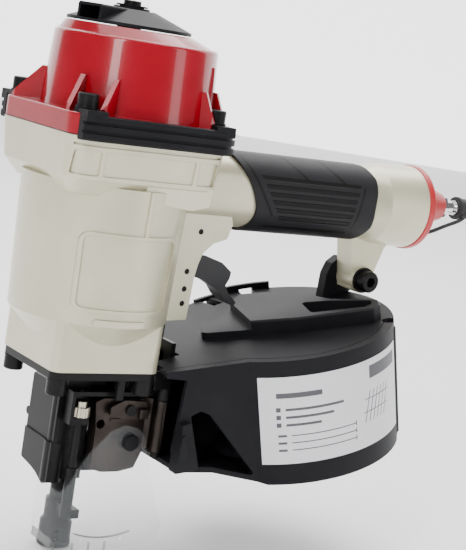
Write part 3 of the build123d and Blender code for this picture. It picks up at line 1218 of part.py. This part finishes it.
PARTS = {
    "main_body": main_body(),
    "cylinder_cap": cylinder_cap(),
    "cap_gasket": cap_gasket(),
    "side_guard_left": side_guard(-1),
    "side_guard_right": side_guard(1),
    "cap_screws": cap_screws(),
    "exhaust_deflector": exhaust_deflector(),
    "deflector_bush": deflector_bush(),
    "deflector_bolt": deflector_bolt(),
    "cylinder_sleeve": cylinder_sleeve(),
    "sleeve_collar": sleeve_collar(),
    "piston_bumper": piston_bumper(),
    "drive_piston": drive_piston(),
    "piston_ring": piston_ring(),
    "driver_blade": driver_blade(),
    "head_valve": head_valve(),
    "head_valve_ring": head_valve_ring(),
    "head_valve_spring": head_valve_spring(),
    "grip_sleeve": grip_sleeve(),
    "end_cap": end_cap(),
    "end_cap_seal": end_cap_seal(),
    "air_filter": air_filter(),
    "air_plug": air_plug(),
    "dust_cap": dust_cap(),
    "cap_tether": cap_tether(),
    "trigger": trigger(),
    "ear_pins": ear_pins(),
    "trigger_valve": trigger_valve(),
    "trigger_valve_ring": trigger_valve_ring(),
    "trigger_valve_stem": trigger_valve_stem(),
    "valve_spring": valve_spring(),
    "valve_circlip": valve_circlip(),
    "nose_body": nose_body(),
    "nose_screws": nose_screws(),
    "contact_arm": contact_arm(),
    "depth_wheel": depth_wheel(),
    "contact_tip": contact_tip(),
    "no_mar_pad": no_mar_pad(),
    "contact_spring": contact_spring(),
    "nose_door": nose_door(),
    "door_hinge_pin": door_hinge_pin(),
    "door_latch": door_latch(),
    "latch_pin": latch_pin(),
    "check_pawl": check_pawl(),
    "feed_cylinder": feed_cylinder(),
    "feed_cylinder_cap": feed_cylinder_cap(),
    "feed_piston": feed_piston(),
    "feed_pawl": feed_pawl(),
    "feed_spring": feed_spring(),
    "clear_shield": clear_shield(),
    "shield_rivet": shield_rivet(),
    "magazine_body": magazine_body(),
    "magazine_cover": magazine_cover(),
    "magazine_hinge_pin": magazine_hinge_pin(),
    "spec_label": spec_label(),
    "coil_platform": coil_platform(),
    "platform_post": platform_post(),
    "magazine_bolt": magazine_bolt(),
    "bolt_nut": bolt_nut(),
    "neck_screws": neck_screws(),
}
for name, shape in PARTS.items():
    save(name, shape)
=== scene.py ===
import bpy
import json
import math
from mathutils import Matrix, Vector


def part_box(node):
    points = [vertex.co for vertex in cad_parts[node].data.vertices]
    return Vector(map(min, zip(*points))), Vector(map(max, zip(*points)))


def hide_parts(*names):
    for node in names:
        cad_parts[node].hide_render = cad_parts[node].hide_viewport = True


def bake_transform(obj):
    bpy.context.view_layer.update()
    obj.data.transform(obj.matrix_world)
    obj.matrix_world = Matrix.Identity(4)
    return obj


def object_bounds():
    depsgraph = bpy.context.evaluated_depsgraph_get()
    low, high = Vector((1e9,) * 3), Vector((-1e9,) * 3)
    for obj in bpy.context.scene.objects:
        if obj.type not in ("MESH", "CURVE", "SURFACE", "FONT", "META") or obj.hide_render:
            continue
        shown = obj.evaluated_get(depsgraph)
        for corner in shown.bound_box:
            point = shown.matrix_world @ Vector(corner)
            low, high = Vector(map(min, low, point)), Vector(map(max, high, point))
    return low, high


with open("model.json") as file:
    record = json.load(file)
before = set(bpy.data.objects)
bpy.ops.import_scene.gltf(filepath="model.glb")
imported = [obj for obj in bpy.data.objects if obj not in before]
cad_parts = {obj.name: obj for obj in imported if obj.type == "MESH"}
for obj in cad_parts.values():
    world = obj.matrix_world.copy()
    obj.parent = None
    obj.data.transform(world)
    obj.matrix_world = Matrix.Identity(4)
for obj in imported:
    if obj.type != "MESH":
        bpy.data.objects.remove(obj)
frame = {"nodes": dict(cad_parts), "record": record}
bpy.ops.object.select_all(action="DESELECT")
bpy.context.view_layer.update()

# ---------------------------------------------------------------- sizes shared with the solids, in metres
DRUM_CENTRE = (0.1118, -0.0103, 0.1242)
DRUM_TILT = math.radians(15.0)
DRUM_R = 0.063
LABEL_START = math.radians(-134.0)
LABEL_TOP = -0.0085
GRIP_MIDDLE_Z = 0.1923


# ---------------------------------------------------------------- shader helpers
class Value:
    """A shader socket that works in ordinary arithmetic; each operation adds one Math node."""

    def __init__(self, tree, socket):
        self.tree = tree
        self.socket = socket

    def math(self, operation, *others):
        inputs = {0: self}
        for place, other in enumerate(others, 1):
            inputs[place] = other
        return Value(self.tree, self.tree.make("ShaderNodeMath", {"operation": operation}, inputs).outputs[0])

    def __add__(self, other):
        return self.math("ADD", other)

    def __sub__(self, other):
        return self.math("SUBTRACT", other)

    def __rsub__(self, other):
        return self.math("MULTIPLY_ADD", -1.0, other)

    def __mul__(self, other):
        return self.math("MULTIPLY", other)

    def __truediv__(self, other):
        return self.math("DIVIDE", other)

    def __rtruediv__(self, other):
        return self.math("POWER", -1.0) * other

    def __gt__(self, other):
        return self.math("GREATER_THAN", other)

    def __lt__(self, other):
        return self.math("LESS_THAN", other)

    def __neg__(self):
        return self.math("MULTIPLY", -1.0)

    def __or__(self, other):
        return self.math("MAXIMUM", other)

    def __abs__(self):
        return self.math("ABSOLUTE")

    __radd__ = __add__
    __rmul__ = __mul__
    __ror__ = __or__

    def between(self, low, high):
        return (self > low) * (self < high)

    def ramp(self, low, high):
        return ((self - low) / (high - low)).math("MAXIMUM", 0.0).math("MINIMUM", 1.0)


class Tree:
    """One material with its Principled shader, and the method that adds every other node."""

    def __init__(self, name):
        self.material = bpy.data.materials.new(name)
        self.material.use_nodes = True
        self.nodes = self.material.node_tree.nodes
        self.links = self.material.node_tree.links
        self.nodes.clear()
        self.shader = self.make("ShaderNodeBsdfPrincipled")
        self.make("ShaderNodeOutputMaterial", inputs={"Surface": Value(self, self.shader.outputs[0])})
        self.place = self.make("ShaderNodeTexCoord").outputs["Object"]

    def make(self, kind, settings=None, inputs=None):
        node = self.nodes.new(kind)
        for key, value in (settings or {}).items():
            setattr(node, key, value)
        for key, value in (inputs or {}).items():
            if isinstance(value, Value):
                self.links.new(value.socket, node.inputs[key])
            else:
                node.inputs[key].default_value = value
        return node

    def value(self, socket):
        return Value(self, socket)

    def axes(self, origin=(0, 0, 0), turn=(0, 0, 0)):
        """Object coordinates measured from an origin in axes turned with it."""
        mapping = self.make(
            "ShaderNodeMapping",
            {"vector_type": "TEXTURE"},
            {"Vector": self.value(self.place), "Location": origin, "Rotation": turn},
        )
        parts = self.make("ShaderNodeSeparateXYZ", inputs={0: self.value(mapping.outputs[0])})
        return [self.value(output) for output in parts.outputs]

    def noise(self, scale, detail=2.0, stretch=(1, 1, 1)):
        mapping = self.make("ShaderNodeMapping", inputs={"Vector": self.value(self.place), "Scale": stretch})
        texture = self.make(
            "ShaderNodeTexNoise",
            inputs={"Vector": self.value(mapping.outputs[0]), "Scale": scale, "Detail": detail},
        )
        return self.value(texture.outputs[0])

    def blend(self, mask, first, second):
        """The first colour where the mask is 0 and the second where it is 1."""
        mix = self.make("ShaderNodeMix", {"data_type": "RGBA"}, {0: mask, 6: first, 7: second})
        return self.value(mix.outputs[2])

    def height(self, value, depth):
        """A bump of that depth in metres over rounded edges."""
        edge = self.make("ShaderNodeBevel", {"samples": 4}, {"Radius": 0.0004})
        bump = self.make(
            "ShaderNodeBump",
            inputs={"Height": value, "Distance": depth, "Strength": 1.0, "Normal": self.value(edge.outputs[0])},
        )
        self.drive("Normal", self.value(bump.outputs[0]))

    def drive(self, name, value):
        if isinstance(value, Value):
            self.links.new(value.socket, self.shader.inputs[name])
        else:
            self.shader.inputs[name].default_value = value


def rgba(colour):
    return (colour[0], colour[1], colour[2], 1.0)


def surface(name, colour, shade, rough, grain, depth, metallic=0.0, coat=0.0, stretch=(1, 1, 1), gleam=0.5):
    """A finish whose tone and gloss drift a little over the surface, with a fine grain in relief."""
    tree = Tree(name)
    broad = tree.noise(38.0, 3.0)
    tree.drive("Base Color", tree.blend(broad.ramp(0.35, 0.68), rgba(colour), rgba(shade)))
    tree.drive("Roughness", broad * (rough[1] - rough[0]) + rough[0])
    tree.drive("Metallic", metallic)
    tree.drive("Coat Weight", coat)
    tree.drive("Coat Roughness", 0.06)
    tree.drive("Specular IOR Level", gleam)
    tree.height(tree.noise(grain, 2.0, stretch), depth)
    return tree


# ---------------------------------------------------------------- finishes
def grip_rubber():
    """Moulded rubber with slanted seams and a panel of level ribs on each side, the seams and rib troughs given painted
    shade.
    """
    tree = surface("grip_rubber", (0.010, 0.010, 0.011), (0.016, 0.016, 0.018), (0.45, 0.6), 2600.0, 0.0001, gleam=0.2)
    x, y, z = tree.axes()
    grain = tree.noise(2600.0, 2.0)
    side = (abs(y) > 0.0095) * 1.0
    above = z - GRIP_MIDDLE_Z
    front_line = x + above * 0.70
    first_line = x + above * 1.30
    front = front_line.between(0.0832, 0.0850) * (above > -0.0100)
    foot = above.between(-0.0166, -0.0152) * front_line.between(0.0780, 0.1330)
    first = first_line.between(0.1240, 0.1265) * (above > 0.0105)
    second = first_line.between(0.1490, 0.1515) * (above > 0.0110)
    rear = (x - above * 0.18).between(0.1476, 0.1490) * above.between(-0.0140, 0.0100)
    seams = (front | rear | foot) * side | first | second
    across = (front_line > 0.0885) * ((x - above * 0.18) < 0.1455)
    panel = across * above.between(-0.0136, 0.0112)
    ribs = ((above + 0.0136) * (2 * math.pi / 0.0041)).math("SINE").ramp(-0.25, 0.25)
    relief = 1.0 - (seams | panel * (1.0 - ribs) * side)
    # Painted shade: the seams and rib troughs are coloured darker than the rubber, as shade in the grooves.
    tree.drive("Base Color", tree.blend(relief, rgba((0.003, 0.003, 0.003)), rgba((0.014, 0.014, 0.016))))
    tree.height(relief + grain * 0.05, 0.0016)
    return tree.material


def label_film():
    """Pale film with plain bars, a dark block and a few nail outlines, and no lettering."""
    tree = Tree("label")
    a, b, rise = tree.axes(DRUM_CENTRE, (0.0, -DRUM_TILT, 0.0))
    along = (b.math("ARCTAN2", a) - LABEL_START) * (DRUM_R * 1000)
    down = (LABEL_TOP - rise) * 1000

    def box(left, right, top, bottom):
        return along.between(left, right) * down.between(top, bottom)

    title = box(9.0, 33.0, 8.6, 11.4)
    lines = box(13.5, 45.0, 17.0, 18.4) | box(13.5, 39.0, 21.2, 22.6) | box(13.5, 32.0, 25.4, 26.8)
    marks = box(8.6, 11.0, 16.4, 18.8) | box(8.6, 11.0, 20.6, 23.0) | box(8.6, 11.0, 24.8, 27.2)
    block = box(63.0, 91.0, 3.5, 10.5)
    nails = box(16.0, 52.0, 31.6, 32.2) | box(16.0, 52.0, 35.6, 36.2) | box(16.0, 52.0, 39.6, 40.2)
    heads = box(52.0, 52.7, 30.6, 33.2) | box(52.0, 52.7, 34.6, 37.2) | box(52.0, 52.7, 38.6, 41.2)
    names = box(9.0, 13.5, 31.3, 32.6) | box(9.0, 13.5, 35.3, 36.6) | box(9.0, 13.5, 39.3, 40.6)
    slant = along + down * 0.25
    strip = (slant / 3.2).math("FRACT").between(0.0, 0.2) * slant.between(67.0, 86.5) * down.between(17.0, 34.0)
    strip = strip | box(59.0, 80.0, 21.0, 21.5) | box(58.0, 79.0, 28.0, 28.5)
    ink = title | lines | marks | block | nails | heads | names | strip
    paper = tree.noise(300.0)
    film = tree.blend(paper, rgba((0.70, 0.70, 0.73)), rgba((0.76, 0.76, 0.79)))
    tree.drive("Base Color", tree.blend(ink, film, rgba((0.07, 0.07, 0.08))))
    tree.drive("Roughness", paper * 0.1 + 0.34)
    return tree.material


def clear_film():
    """Clear polycarbonate, cloudier and more worn towards the lower edge, with its crease and rows of short slots drawn
    as painted shade lines.
    """
    tree = Tree("clear_plastic")
    x, y, z = tree.axes()
    haze = tree.noise(55.0, 4.0)
    low = 1.0 - z.ramp(0.0, 0.045)
    bowl = z - 0.0098 - (x - 0.0155) * (x - 0.0155) * 10.0
    crease = bowl.between(0.0, 0.0005) * x.between(-0.001, 0.032)
    rows = ((x + 0.010) / 0.0093).math("FRACT").between(0.0, 0.05) * z.between(0.003, 0.0078) * x.between(-0.010, 0.020)
    # Painted shade: the crease and the rows of short slots are drawn as dark, nearly opaque lines, standing in for the
    # shade in them.
    lines = crease | rows
    tree.drive("Base Color", tree.blend(lines, rgba((0.55, 0.58, 0.60)), rgba((0.06, 0.06, 0.06))))
    tree.drive("Roughness", haze * 0.12 + 0.04)
    tree.drive("Alpha", haze * 0.06 + low * 0.05 + lines * 0.7 + 0.02)
    tree.drive("Coat Weight", 1.0)
    return tree.material


def plastic_shell():
    """Charcoal moulded plastic with a fine spark-eroded grain."""
    tree = surface("black_plastic", (0.006, 0.006, 0.008), (0.010, 0.010, 0.012), (0.42, 0.54), 3200.0, 0.00008, gleam=0.14)
    return tree.material


MAKERS = {"grip_rubber": grip_rubber, "label": label_film, "clear_plastic": clear_film, "black_plastic": plastic_shell}
PLAIN = {
    "cap_paint": dict(colour=(0.28, 0.0, 0.008), shade=(0.34, 0.0, 0.012), rough=(0.20, 0.27),
                      grain=900.0, depth=0.00003, coat=0.5, gleam=0.3),
    "body_paint": dict(colour=(0.56, 0.53, 0.38), shade=(0.62, 0.59, 0.43), rough=(0.30, 0.38),
                       grain=1800.0, depth=0.00005, metallic=0.35, coat=0.35),
    "black_rubber": dict(colour=(0.014, 0.014, 0.015), shade=(0.022, 0.022, 0.024), rough=(0.55, 0.7),
                         grain=1500.0, depth=0.00010),
    "red_plastic": dict(colour=(0.42, 0.010, 0.014), shade=(0.48, 0.014, 0.02), rough=(0.34, 0.42),
                        grain=1500.0, depth=0.00006, coat=0.2),
    "black_steel": dict(colour=(0.005, 0.005, 0.005), shade=(0.011, 0.010, 0.010), rough=(0.28, 0.40),
                        grain=1200.0, depth=0.00005, gleam=0.14),
    "dark_steel": dict(colour=(0.024, 0.019, 0.017), shade=(0.055, 0.043, 0.036), rough=(0.26, 0.44),
                       grain=700.0, depth=0.00012, metallic=0.85, stretch=(1, 1, 0.25)),
    "steel": dict(colour=(0.50, 0.50, 0.52), shade=(0.60, 0.60, 0.62), rough=(0.26, 0.36),
                  grain=900.0, depth=0.00006, metallic=1.0, stretch=(1, 1, 0.1)),
    "chrome": dict(colour=(0.72, 0.72, 0.74), shade=(0.80, 0.80, 0.82), rough=(0.08, 0.16),
                   grain=700.0, depth=0.00002, metallic=1.0),
    "nickel": dict(colour=(0.50, 0.46, 0.36), shade=(0.62, 0.58, 0.47), rough=(0.28, 0.4),
                   grain=900.0, depth=0.00006, metallic=1.0),
    "aluminium": dict(colour=(0.62, 0.62, 0.64), shade=(0.72, 0.72, 0.74), rough=(0.3, 0.42),
                      grain=900.0, depth=0.00006, metallic=1.0),
    "brass": dict(colour=(0.66, 0.46, 0.18), shade=(0.74, 0.55, 0.26), rough=(0.25, 0.36),
                  grain=900.0, depth=0.00005, metallic=1.0),
    "black_alloy": dict(colour=(0.018, 0.018, 0.020), shade=(0.028, 0.028, 0.031), rough=(0.34, 0.44),
                        grain=1500.0, depth=0.00005, metallic=0.3),
}
finishes = {name: make() for name, make in MAKERS.items()}
for name, look in PLAIN.items():
    finishes[name] = surface(name, **look).material

for part in frame["record"]["subparts"]:
    node = frame["nodes"][part["node"]]
    node.data.materials.clear()
    node.data.materials.append(finishes[part["material_slot"]])


# ---------------------------------------------------------------- strap of the dust cap
def strap(name, points, radius):
    """A round rubber strap through these points, as a mesh."""
    bpy.ops.curve.primitive_nurbs_path_add(location=(0, 0, 0))
    line = bpy.context.object
    line.name = name
    spline = line.data.splines[0]
    spline.points.add(len(points) - len(spline.points))
    for point, place in zip(spline.points, points):
        point.co = (place[0], place[1], place[2], 1.0)
    spline.order_u = 4
    spline.use_endpoint_u = True
    line.data.resolution_u = 10
    line.data.bevel_depth = radius
    line.data.bevel_resolution = 3
    line.data.use_fill_caps = True
    bpy.ops.object.convert(target="MESH")
    bpy.ops.object.shade_smooth()
    bpy.context.object.data.materials.append(finishes["black_rubber"])
    return bpy.context.object


tether_low, tether_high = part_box("cap_tether")
cap_low, cap_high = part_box("dust_cap")
side = (tether_low.y + tether_high.y) / 2
tether = strap(
    "soft_tether",
    [(tether_low.x + 0.001, side, tether_low.z + 0.0012),
     (tether_low.x + 0.006, side, tether_low.z + 0.0012),
     (tether_low.x + 0.014, side, tether_low.z + 0.0030),
     (tether_low.x + 0.022, side, tether_low.z + 0.0070),
     (cap_low.x + 0.003, cap_low.y + 0.0016, cap_low.z + 0.0004),
     (cap_low.x + 0.0045, cap_low.y + 0.0020, cap_low.z + 0.0030)],
    0.0011,
)
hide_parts("cap_tether")
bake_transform(tether)

# ---------------------------------------------------------------- floor, lights and camera
bpy.ops.object.select_all(action="DESELECT")
floor_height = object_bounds()[0][2] - 0.0004
bpy.ops.mesh.primitive_plane_add(size=12.0, location=(0, 0, floor_height))
floor = bpy.context.object
floor.name = "floor"
pale = Tree("pale_floor")
pale.drive("Base Color", (0.92, 0.92, 0.92, 1.0))
pale.drive("Roughness", 0.9)
floor.data.materials.append(pale.material)
bpy.ops.object.transform_apply(location=True, rotation=True, scale=True)

bpy.ops.mesh.primitive_plane_add(size=14.0, location=(2.2, 3.2, 2.0), rotation=(math.radians(90), 0, math.radians(-34.5)))
wall = bpy.context.object
wall.name = "backdrop"
glow = Tree("pale_backdrop")
glow.drive("Base Color", (0.9, 0.9, 0.9, 1.0))
glow.drive("Roughness", 0.9)
glow.drive("Emission Color", (1.0, 1.0, 1.0, 1.0))
glow.drive("Emission Strength", 2.2)
wall.data.materials.append(glow.material)
bpy.ops.object.transform_apply(location=True, rotation=True, scale=True)


def soft_light(name, place, target, size, power):
    bpy.ops.object.light_add(type="AREA", location=place)
    lamp = bpy.context.object
    lamp.name = name
    lamp.data.shape = "RECTANGLE"
    lamp.data.size = size[0]
    lamp.data.size_y = size[1]
    lamp.data.energy = power
    aim = Vector(target) - Vector(place)
    lamp.rotation_euler = aim.to_track_quat("-Z", "Y").to_euler()


soft_light("key", (-1.0, -0.75, 0.80), (0.05, 0, 0.16), (0.30, 1.0), 13.0)
soft_light("fill", (0.75, -1.05, 0.45), (0.08, 0, 0.14), (0.35, 0.9), 3.6)
soft_light("top", (0.2, 0.5, 1.9), (0.08, 0.3, 0.0), (2.4, 2.4), 80.0)

world = bpy.data.worlds.new("studio")
world.use_nodes = True
backdrop = world.node_tree.nodes["Background"]
backdrop.inputs[0].default_value = (1.0, 1.0, 1.0, 1.0)
backdrop.inputs[1].default_value = 0.22
bpy.context.scene.world = world

EYE = (-0.365967512, -0.656057726, 0.266743105)
HEADING = -0.602383899
PITCH = 0.149808181
ROLL = 0.161412932
back = Vector((math.sin(HEADING) * math.cos(PITCH), -math.cos(HEADING) * math.cos(PITCH), math.sin(PITCH)))
across = (-back).cross(Vector((0, 0, 1))).normalized()
up = across.cross(-back)
camera_x = across * math.cos(ROLL) + up * math.sin(ROLL)
camera_y = up * math.cos(ROLL) - across * math.sin(ROLL)
bpy.ops.object.camera_add(location=EYE)
camera = bpy.context.object
camera.data.lens = 98.23
camera.data.sensor_width = 36.0
camera.data.clip_start = 0.01
camera.matrix_world = Matrix.Translation(EYE) @ Matrix((camera_x, camera_y, back)).transposed().to_4x4()
bpy.context.scene.camera = camera
